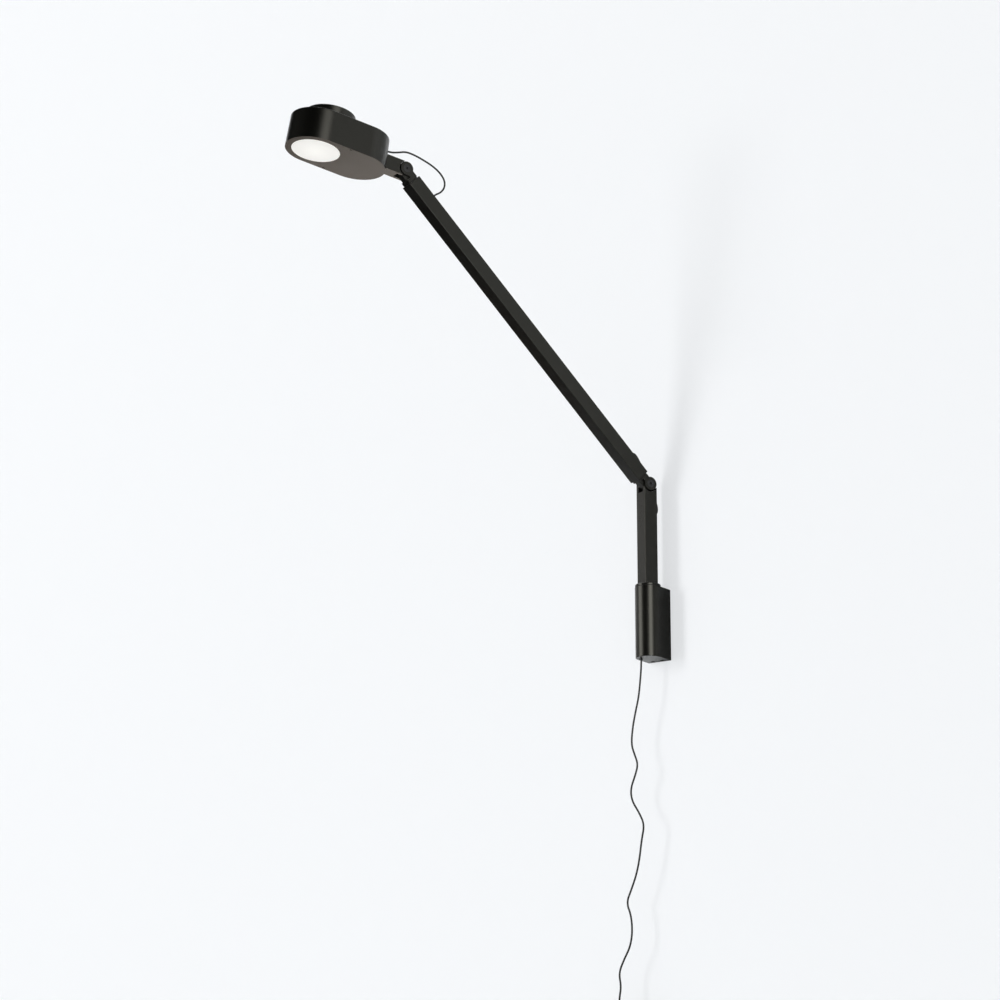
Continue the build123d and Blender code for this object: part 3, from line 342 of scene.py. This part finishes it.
def grained_material(
    name, dark, light, roughness, grain=900.0, patch=14.0, smudge=0.06, bump=0.04, depth=0.0002, metallic=0.0,
    specular=0.5, gloss_tint=WHITE,
):
    """A surface with fine grain, soft colour patches and uneven gloss."""
    material, tree, shader = new_material(name)
    links = tree.links
    coords = add_node(tree, "ShaderNodeTexCoord")
    texture = add_node(tree, "ShaderNodeGroup", node_tree=surface_grain_group())
    settings = {"Grain size": grain, "Patch size": patch, "Roughness": roughness, "Smudge": smudge}
    for label, value in settings.items():
        texture.inputs[label].default_value = value
    links.new(coords.outputs["Object"], texture.inputs["Vector"])
    ramp = add_node(tree, "ShaderNodeValToRGB")
    ramp.color_ramp.elements[0].color = (*dark, 1.0)
    ramp.color_ramp.elements[1].color = (*light, 1.0)
    links.new(texture.outputs["Patch"], ramp.inputs["Fac"])
    links.new(ramp.outputs["Color"], shader.inputs["Base Color"])
    links.new(texture.outputs["Roughness"], shader.inputs["Roughness"])
    relief = add_node(tree, "ShaderNodeBump", {"Strength": bump, "Distance": depth})
    links.new(texture.outputs["Height"], relief.inputs["Height"])
    links.new(relief.outputs["Normal"], shader.inputs["Normal"])
    shader.inputs["Metallic"].default_value = metallic
    shader.inputs["Specular IOR Level"].default_value = specular
    shader.inputs["Specular Tint"].default_value = (*gloss_tint, 1.0)
    return material


def dress(names, material):
    """Give CAD nodes a material."""
    for name in names:
        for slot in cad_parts[name].material_slots:
            slot.material = material


def finish_nodes(rows):
    """Make each row's finish and give it to the row's nodes."""
    for name, nodes, dark, light, roughness, texture in rows:
        dress(nodes, grained_material(name, dark, light, roughness, **texture))


def cord_material():
    """The cord's smooth black sheath."""
    existing = bpy.data.materials.get("Cord sheath")
    if existing:
        return existing
    dark = bpy.context.scene.lamp_finish.cord_color
    light = [value * CORD_PATCH for value in dark]
    return grained_material(
        "Cord sheath", dark, light, 0.42, grain=1500.0, patch=40.0, smudge=0.10, bump=0.05, depth=0.0001
    )


def rubber_material():
    """Matte black rubber."""
    existing = bpy.data.materials.get("Black rubber")
    if existing:
        return existing
    return grained_material(
        "Black rubber", (0.008, 0.008, 0.008), (0.014, 0.014, 0.013), 0.62, grain=1800.0, bump=0.15
    )


def shade_smooth(mesh):
    """Smooth shading on every face of a new mesh."""
    mesh.polygons.foreach_set("use_smooth", [True] * len(mesh.polygons))


# Cord routes, in millimetres

MM_PER_M = 1000.0
HANGING_ROUTE = [
    (-10.5, -30.5, -42.0),
    (-10.5, -30.5, -57.0),
    (-12.4, -30.5, -76.0),
    (-15.4, -30.5, -100.0),
    (-20.6, -30.5, -119.0),
    (-25.4, -30.5, -140.0),
    (-27.8, -30.5, -162.0),
    (-22.9, -30.5, -176.0),
    (-17.4, -30.5, -190.0),
    (-22.5, -30.5, -205.0),
    (-29.8, -30.5, -222.0),
    (-27.6, -30.5, -238.0),
    (-17.0, -30.5, -254.0),
    (-8.6, -30.5, -271.0),
    (-13.4, -30.5, -291.0),
    (-16.8, -30.5, -315.0),
    (-22.0, -30.5, -336.0),
    (-30.6, -30.5, -356.0),
    (-38.0, -30.5, -371.5),
    (-30.8, -30.5, -389.0),
    (-29.2, -30.5, -411.0),
    (-33.0, -30.5, -430.0),
    (-43.5, -30.5, -447.0),
    (-51.0, -30.5, -463.0),
    (-47.4, -30.5, -480.0),
    (-51.0, -30.5, -498.0),
    (-50.0, -30.5, -515.0),
    (-50.0, -30.5, -530.0),
]
# Where the cord leaves the bracket, where its coil starts and how far its end hangs below that, in metres
COIL_START = Vector((-0.050, -0.0305, -0.5325))
COIL_EXIT = 0.008
COIL_STEPS = 12
# A spline runs inside its control points, so those of a turn lie on a wider circle
COIL_SWELL = 1.0 / math.cos(math.pi / COIL_STEPS) ** 0.667

# Across, along the arm and above its hinge line, then across, behind the lower arm and above the elbow
ELBOW_ROUTE_ON_ARM = [
    (0.0, 46.5, 4.6), (0.0, 46.5, 11.0), (0.0, 42.5, 14.4), (-1.0, 34.0, 14.2), (-4.5, 20.0, 13.2),
    (-7.5, 7.0, 13.0),
]
ELBOW_ROUTE_BEHIND = [
    (-8.0, 12.9, 6.5), (-7.5, 13.2, -5.0), (-5.0, 14.2, -16.0), (-1.5, 15.6, -26.5), (0.0, 15.5, -35.3),
    (0.0, 12.7, -39.5), (0.0, 6.3, -39.5),
]
# Across, ahead of the head's hinge and above it, then across, along the arm and above its hinge line
HEAD_ROUTE = [
    (0.0, 34.5, 16.4), (0.0, 24.5, 16.4), (0.0, 12.5, 21.1), (0.0, 1.5, 26.3), (0.0, -12.0, 26.2),
    (0.0, -26.5, 24.0), (0.0, -41.0, 20.8), (0.0, -53.5, 15.2), (0.0, -62.0, 6.8), (0.0, -63.2, -3.0),
    (0.0, -58.5, -12.0),
]
HEAD_ROUTE_ON_ARM = [(0.0, -51.5, 14.5), (0.0, -51.5, 4.6)]


def spread(origin, first, second, places):
    """Points in metres from millimetres across the arms and along two directions."""
    return [origin + (ACROSS * a + first * b + second * c) / MM_PER_M for a, b, c in places]


def coil_points(cord):
    """Control points of the coil's turns, which spiral in and out in layers."""
    points = []
    inner = cord.coil_radius - cord.coil_turns * cord.coil_pitch
    for k in range(1, COIL_STEPS * cord.coil_turns * cord.coil_layers):
        turn = k / COIL_STEPS
        reversal = round(turn / cord.coil_turns)
        past = turn - reversal * cord.coil_turns
        travel = abs(past) * cord.coil_pitch
        radius = cord.coil_radius - travel if reversal % 2 == 0 else inner + travel
        # The step to the next layer takes half a turn
        climb = min(max(2.0 * past + 0.5, 0.0), 1.0)
        layer = min(max(reversal - 1 + climb**2 * (3 - 2 * climb), 0.0), cord.coil_layers - 1)
        angle = math.pi + 2 * math.pi * turn
        offset = Vector((math.cos(angle), 0.0, math.sin(angle))) * (radius * COIL_SWELL)
        middle = COIL_START + Vector((cord.coil_radius, -layer * cord.coil_pitch, 0.0))
        points.append(middle + offset)
    return points


def route_curve(name, points, diameter):
    """A round cord on one smooth spline whose control points are the route's."""
    curve = bpy.data.curves.new(name, "CURVE")
    curve.dimensions = "3D"
    curve.resolution_u = 8
    curve.bevel_depth = diameter / 2
    curve.bevel_resolution = 3
    curve.use_fill_caps = True
    spline = curve.splines.new("NURBS")
    spline.points.add(len(points) - 1)
    for target, point in zip(spline.points, points):
        target.co = (*point, 1.0)
    spline.order_u = 3
    spline.use_endpoint_u = True
    spline.use_smooth = True
    piece = bpy.data.objects.new(name, curve)
    bpy.context.collection.objects.link(piece)
    return piece


def route_line(piece):
    """Points along a cord's spline, without its thickness."""
    depth = piece.data.bevel_depth
    piece.data.bevel_depth = 0.0
    piece.data.use_fill_caps = False
    bpy.context.view_layer.update()
    line = bpy.data.meshes.new_from_object(piece.evaluated_get(bpy.context.evaluated_depsgraph_get()))
    points = [vertex.co.copy() for vertex in line.vertices]
    bpy.data.meshes.remove(line)
    piece.data.bevel_depth = depth
    piece.data.use_fill_caps = True
    return points


def as_mesh(piece):
    """Turn a cord's curve into a mesh tube of the same name."""
    bpy.context.view_layer.update()
    mesh = bpy.data.meshes.new_from_object(piece.evaluated_get(bpy.context.evaluated_depsgraph_get()))
    name = piece.name
    bpy.data.objects.remove(piece)
    mesh.name = name
    tube = bpy.data.objects.new(name, mesh)
    bpy.context.collection.objects.link(tube)
    shade_smooth(mesh)
    return tube


class LAMP_OT_camera(bpy.types.Operator):
    """Place the camera at the photograph's viewing angle"""

    bl_idname = "lamp.camera"
    bl_label = "Camera"

    def execute(self, context):
        stage = context.scene.lamp_stage
        camera = bpy.data.cameras.new("Camera")
        camera.lens = stage.lens
        camera.sensor_width = 36.0
        camera.clip_end = 50.0
        holder = bpy.data.objects.new("Camera", camera)
        context.collection.objects.link(holder)
        holder.location = stage.camera_place
        holder.rotation_euler = (math.pi / 2 + stage.camera_rise, 0.0, stage.camera_azimuth)
        context.scene.camera = holder
        return {"FINISHED"}


class LAMP_OT_hanging_cord(bpy.types.Operator):
    """Hang the cord from the bracket, with its put-away coil"""

    bl_idname = "lamp.hanging_cord"
    bl_label = "Hanging cord"

    def execute(self, context):
        cord = context.scene.lamp_cord
        route = [Vector(point) / MM_PER_M for point in HANGING_ROUTE]
        last = COIL_START + Vector((0.0, -(cord.coil_layers - 1) * cord.coil_pitch, 0.0))
        ending = [last, last - UP * COIL_EXIT]
        piece = route_curve("hanging_cord", route + [COIL_START] + coil_points(cord) + ending, cord.diameter)
        piece.data.materials.append(cord_material())
        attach(piece, "bracket")
        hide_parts("main_cord", "cord_coil")
        return {"FINISHED"}


class LAMP_OT_plug(bpy.types.Operator):
    """Finish the plug-in driver, its boot and the coil's tie"""

    bl_idname = "lamp.plug"
    bl_label = "Plug and tie"

    def execute(self, context):
        finish_nodes(PLUG_FINISHES)
        dress(PLUG_RUBBER_NODES, rubber_material())
        return {"FINISHED"}


class LAMP_OT_joint_cords(bpy.types.Operator):
    """Lay the cord loops across the elbow and the head's hinge"""

    bl_idname = "lamp.joint_cords"
    bl_label = "Cord loops"

    def execute(self, context):
        diameter = context.scene.lamp_cord.diameter
        elbow = spread(ELBOW_PIVOT, ALONG_ARM, OFF_ARM, ELBOW_ROUTE_ON_ARM)
        elbow += spread(ELBOW_PIVOT, -AHEAD, UP, ELBOW_ROUTE_BEHIND)
        head = spread(HEAD_PIVOT, ALONG_HEAD, OFF_HEAD, HEAD_ROUTE)
        head += spread(HEAD_PIVOT, ALONG_ARM, OFF_ARM, HEAD_ROUTE_ON_ARM)
        loops = (
            ("elbow_loop", "elbow_cord", elbow, "upper_arm", "lower_arm"),
            ("head_loop", "head_cord", head, "lamp_head", "upper_arm"),
        )
        for name, node, points, first_body, second_body in loops:
            curve = route_curve(name, points, diameter)
            line = route_line(curve)
            tube = as_mesh(curve)
            tube.data.materials.clear()
            tube.data.materials.append(cord_material())
            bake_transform(tube)
            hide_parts(node)
        return {"FINISHED"}


class LAMP_OT_coat(bpy.types.Operator):
    """Give the bracket, arms, head and knob their satin black coating"""

    bl_idname = "lamp.coat"
    bl_label = "Black coating"

    def execute(self, context):
        finish = context.scene.lamp_finish
        coat = grained_material(
            "Satin black coat", finish.coat_color, finish.coat_light, finish.coat_roughness,
            grain=1100.0, patch=9.0, smudge=0.08, bump=0.06, gloss_tint=COAT_GLOSS,
        )
        dress(COATED_NODES, coat)
        return {"FINISHED"}


class LAMP_OT_hardware(bpy.types.Operator):
    """Finish the bolts, washers, grommets and inner metal pieces"""

    bl_idname = "lamp.hardware"
    bl_label = "Hardware"

    def execute(self, context):
        finish_nodes(HARDWARE_FINISHES)
        dress(GROMMET_NODES, rubber_material())
        dress(WIRING_NODES, cord_material())
        return {"FINISHED"}


class LAMP_OT_light_unit(bpy.types.Operator):
    """Finish the diffuser, light chamber, LEDs and boards in the head"""

    bl_idname = "lamp.light_unit"
    bl_label = "Light unit"

    def execute(self, context):
        finish = context.scene.lamp_finish
        light = finish.diffuser_color
        dark = [value * DIFFUSER_PATCH for value in light]
        opal = grained_material("Opal diffuser", dark, light, 0.38, grain=1600.0, patch=20.0, bump=0.02)
        tree = opal.node_tree
        shader = tree.nodes["Principled BSDF"]
        coords = next(node for node in tree.nodes if node.type == "TEX_COORD")
        centre = add_node(tree, "ShaderNodeMapping", {"Location": DIFFUSER_CENTRE}, vector_type="TEXTURE")
        centre.inputs["Scale"].default_value = (GLOW_RADIUS,) * 3
        tree.links.new(coords.outputs["Object"], centre.inputs["Vector"])
        fade = add_node(tree, "ShaderNodeTexGradient", gradient_type="QUADRATIC_SPHERE")
        tree.links.new(centre.outputs["Vector"], fade.inputs["Vector"])
        tint = add_node(tree, "ShaderNodeValToRGB")
        tint.color_ramp.elements[0].color = (*GLOW_RIM, 1.0)
        tint.color_ramp.elements[1].color = (*GLOW_MIDDLE, 1.0)
        tree.links.new(fade.outputs["Fac"], tint.inputs["Fac"])
        tree.links.new(tint.outputs["Color"], shader.inputs["Emission Color"])
        shader.inputs["Emission Strength"].default_value = finish.glow
        dress(["diffuser"], opal)
        finish_nodes(LIGHT_UNIT_FINISHES)
        return {"FINISHED"}


def stage_plane(name, sizes, place, turn):
    """A large plane for the stage, with its place in its mesh."""
    mesh = bpy.data.meshes.new(name)
    plane = bmesh.new()
    bmesh.ops.create_grid(plane, x_segments=1, y_segments=1, size=0.5)
    bmesh.ops.scale(plane, vec=(*sizes, 1.0), verts=plane.verts)
    bmesh.ops.transform(plane, matrix=Matrix.Translation(place) @ turn, verts=plane.verts)
    plane.to_mesh(mesh)
    plane.free()
    piece = bpy.data.objects.new(name, mesh)
    bpy.context.collection.objects.link(piece)
    return piece


def area_light(name, place, target, sizes, power, color):
    """A soft box aimed at a point."""
    light = bpy.data.lights.new(name, "AREA")
    light.shape = "RECTANGLE"
    light.size, light.size_y = sizes
    light.energy = power
    light.color = color
    holder = bpy.data.objects.new(name, light)
    bpy.context.collection.objects.link(holder)
    holder.location = place
    holder.rotation_euler = (Vector(target) - Vector(place)).to_track_quat("-Z", "Y").to_euler()
    return holder


def gloss_fade(tree, path, coords, weights, start, full):
    """Mask, which only gloss shows, for painted shade and painted light on the backdrop: from nothing at
    start to its share at full along a direction.
    """
    reach = add_node(tree, "ShaderNodeVectorMath", {1: weights}, operation="DOT_PRODUCT")
    tree.links.new(coords.outputs["Object"], reach.inputs[0])
    fade = add_node(
        tree, "ShaderNodeMapRange",
        {"From Min": start, "From Max": full, "To Min": 0.0, "To Max": FADE_SHARE},
        interpolation_type="SMOOTHSTEP",
    )
    tree.links.new(reach.outputs["Value"], fade.inputs["Value"])
    mask = add_node(tree, "ShaderNodeMath", operation="MULTIPLY")
    tree.links.new(path.outputs["Is Glossy Ray"], mask.inputs[0])
    tree.links.new(fade.outputs["Result"], mask.inputs[1])
    return mask.outputs["Value"]


def shade_beside(tree, path, coords, color):
    """The backdrop's colour, with painted shade just right of the lamp that only gloss shows."""
    across = add_node(tree, "ShaderNodeSeparateXYZ")
    tree.links.new(coords.outputs["Object"], across.inputs["Vector"])
    ramp = add_node(tree, "ShaderNodeValToRGB")
    stops = ramp.color_ramp.elements
    stops[1].position = SHADE_BESIDE_END
    for stop in stops:
        stop.color = (*color, 1.0)
    for position, share in SHADE_BESIDE:
        stops.new(position).color = (*(value * share for value in color), 1.0)
    tree.links.new(across.outputs["X"], ramp.inputs["Fac"])
    tone = add_node(tree, "ShaderNodeMix", {MIX_FIRST: (*color, 1.0)}, data_type="RGBA")
    tree.links.new(path.outputs["Is Glossy Ray"], tone.inputs["Factor"])
    tree.links.new(ramp.outputs["Color"], tone.inputs[MIX_SECOND])
    return tone.outputs[MIX_RESULT]


def backdrop_material(name, color):
    """Pale paint that keeps part of its written colour for the camera, and is clear from behind.

    Gloss shows painted shade on it low on the left and just right of the lamp, and painted light, its written
    colour glowing, far on the right.
    """
    material = bpy.data.materials.new(name)
    material.use_nodes = True
    tree = material.node_tree
    links = tree.links
    tree.nodes.remove(tree.nodes["Principled BSDF"])
    path = add_node(tree, "ShaderNodeLightPath")
    coords = add_node(tree, "ShaderNodeTexCoord")
    # Painted shade: gloss sees the backdrop darker low on the left and just right of the lamp
    tone = add_node(tree, "ShaderNodeMix", {MIX_SECOND: (0.0, 0.0, 0.0, 1.0)}, data_type="RGBA")
    links.new(gloss_fade(tree, path, coords, *SHADE_LOW_LEFT), tone.inputs["Factor"])
    links.new(shade_beside(tree, path, coords, color), tone.inputs[MIX_FIRST])
    paint = add_node(tree, "ShaderNodeBsdfDiffuse")
    links.new(tone.outputs[MIX_RESULT], paint.inputs["Color"])
    plain = add_node(tree, "ShaderNodeEmission", {"Color": (*color, 1.0), "Strength": 1.0})
    # Painted light: gloss sees the backdrop glow at its written colour far on the right, and the camera sees
    # part of that glow everywhere
    part = add_node(tree, "ShaderNodeMath", {1: SEEN_SHARE}, operation="MULTIPLY_ADD")
    links.new(path.outputs["Is Camera Ray"], part.inputs[0])
    links.new(gloss_fade(tree, path, coords, *PAINTED_LIGHT_FAR_RIGHT), part.inputs[2])
    front = mix_shaders(tree, part.outputs["Value"], paint.outputs["BSDF"], plain.outputs["Emission"])
    facing = add_node(tree, "ShaderNodeNewGeometry")
    clear = add_node(tree, "ShaderNodeBsdfTransparent")
    sides = mix_shaders(tree, facing.outputs["Backfacing"], front, clear.outputs["BSDF"])
    links.new(sides, tree.nodes["Material Output"].inputs["Surface"])
    return material


def make_world(scene):
    """Soft even light, with a pale background for the camera."""
    world = bpy.data.worlds.new("Studio")
    scene.world = world
    world.use_nodes = True
    tree = world.node_tree
    background = tree.nodes["Background"]
    background.inputs["Color"].default_value = (*WHITE, 1.0)
    path = add_node(tree, "ShaderNodeLightPath")
    soft = add_node(tree, "ShaderNodeMapRange", {"To Min": SOFT_LIGHT, "To Max": SOFT_GLOSS})
    tree.links.new(path.outputs["Is Glossy Ray"], soft.inputs["Value"])
    tree.links.new(soft.outputs["Result"], background.inputs["Strength"])
    wall_color = (*scene.lamp_stage.wall_color, 1.0)
    pale = add_node(tree, "ShaderNodeBackground", {"Color": wall_color, "Strength": 1.0})
    seen = mix_shaders(
        tree, path.outputs["Is Camera Ray"], background.outputs["Background"], pale.outputs["Background"]
    )
    tree.links.new(seen, tree.nodes["World Output"].inputs["Surface"])


class LAMP_OT_stage(bpy.types.Operator):
    """Set up the wall, the floor and the soft studio light"""

    bl_idname = "lamp.stage"
    bl_label = "Stage"

    def execute(self, context):
        stage = context.scene.lamp_stage
        context.scene.view_settings.view_transform = "Standard"
        upright = Matrix.Rotation(math.pi / 2, 4, "X")
        wall = stage_plane("wall", WALL_SIZES, WALL_MIDDLE, upright)
        floor = stage_plane("floor", FLOOR_SIZES, (*FLOOR_MIDDLE, stage.floor_height), Matrix.Identity(4))
        wall.data.materials.append(backdrop_material("Wall paint", stage.wall_color))
        floor.data.materials.append(backdrop_material("Pale floor", stage.wall_color))
        make_world(context.scene)
        key_lamp = area_light(*KEY_LAMP)
        key_lamp.visible_glossy = False
        for values in GLOSS_CARDS:
            card = area_light(*values)
            card.visible_diffuse = False
            card.visible_camera = False
        return {"FINISHED"}


STEPS = (
    LAMP_OT_camera, LAMP_OT_hanging_cord, LAMP_OT_plug, LAMP_OT_joint_cords, LAMP_OT_coat, LAMP_OT_hardware,
    LAMP_OT_light_unit, LAMP_OT_stage,
)


class LAMP_PT_panel(bpy.types.Panel):
    """The lamp's steps and settings"""

    bl_idname = "LAMP_PT_panel"
    bl_label = "Wall Lamp"
    bl_space_type = "VIEW_3D"
    bl_region_type = "UI"
    bl_category = "Wall Lamp"

    def draw(self, context):
        column = self.layout.column()
        for settings in (context.scene.lamp_finish, context.scene.lamp_cord, context.scene.lamp_stage):
            for name in settings.__annotations__:
                column.prop(settings, name)
        for step in STEPS:
            column.operator(step.bl_idname)


CLASSES = (LampFinish, LampCord, LampStage, *STEPS, LAMP_PT_panel)


def register():
    for cls in CLASSES:
        bpy.utils.register_class(cls)
    bpy.types.Scene.lamp_finish = PointerProperty(type=LampFinish)
    bpy.types.Scene.lamp_cord = PointerProperty(type=LampCord)
    bpy.types.Scene.lamp_stage = PointerProperty(type=LampStage)


def unregister():
    del bpy.types.Scene.lamp_stage
    del bpy.types.Scene.lamp_cord
    del bpy.types.Scene.lamp_finish
    for cls in reversed(CLASSES):
        bpy.utils.unregister_class(cls)


def main():
    register()
    bpy.ops.lamp.camera()
    bpy.ops.lamp.hanging_cord()
    bpy.ops.lamp.plug()
    bpy.ops.lamp.joint_cords()
    bpy.ops.lamp.coat()
    bpy.ops.lamp.hardware()
    bpy.ops.lamp.light_unit()
    bpy.ops.lamp.stage()
    bpy.context.view_layer.update()


if __name__ == "__main__":
    main()
